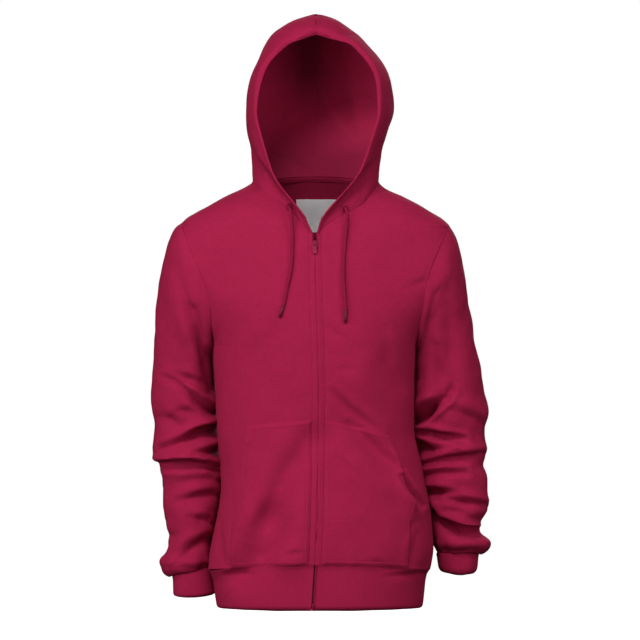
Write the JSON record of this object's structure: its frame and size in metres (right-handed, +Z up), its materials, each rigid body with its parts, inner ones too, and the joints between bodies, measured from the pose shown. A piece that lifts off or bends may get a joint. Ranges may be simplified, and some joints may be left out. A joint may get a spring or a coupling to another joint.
{
  "type": "zip up hoodie",
  "caption": "Cherry red fleece hoodie with the hood up and the sleeves hanging, zipped to the neck, with patch pockets, ribbed hem and cuffs, and a hood drawcord.",
  "frame": {"origin": "in the middle of the neck, level with the points where shoulder and neck meet", "axes": "+Z up along the body, -Y the garment's front, +X the wearer's left"},
  "size_m": [0.5755, 0.2583, 1.0169],
  "materials": {
    "cherry_fleece": "matt brushed sweatshirt fleece",
    "cherry_rib": "matt rib knit",
    "cherry_tape": "woven neck tape",
    "grey_label": "woven label, bare",
    "zip_tape": "woven zip tape",
    "zip_coil": "nylon coil, dyed to match the cloth",
    "slider_enamel": "enamel in the colour of the cloth",
    "cherry_cord": "round braid",
    "dipped_tip": "dipped cord end"
  },
  "bodies": {
    "garment": {"back": "cherry_fleece", "front_right": "cherry_fleece", "front_left": "cherry_fleece", "sleeve_right": "cherry_fleece", "sleeve_left": "cherry_fleece", "hood_right": "cherry_fleece", "hood_left": "cherry_fleece", "pocket_right": "cherry_fleece", "pocket_left": "cherry_fleece", "cuff_right": "cherry_rib", "cuff_left": "cherry_rib", "hem_band": "cherry_rib", "neck_tape": "cherry_tape", "neck_label": "grey_label", "zip_tape_right": "zip_tape", "zip_tape_left": "zip_tape", "zip_chain": "zip_coil", "zip_box": "slider_enamel", "zip_slider": "slider_enamel", "drawcord_right": "cherry_cord", "drawcord_left": "cherry_cord", "eyelet_right": "cherry_cord", "eyelet_left": "cherry_cord", "cord_tip_right": "dipped_tip", "cord_tip_left": "dipped_tip"},
    "pull": {"zip_pull": "slider_enamel"}
  },
  "joints": [
    {"name": "pull_swing", "type": "hinge", "parent": "garment", "child": "pull", "pos_m": [-0.00185, -0.09918, -0.10308], "axis": [-1, 0, 0], "range_deg": [-4, 160]}
  ]
}
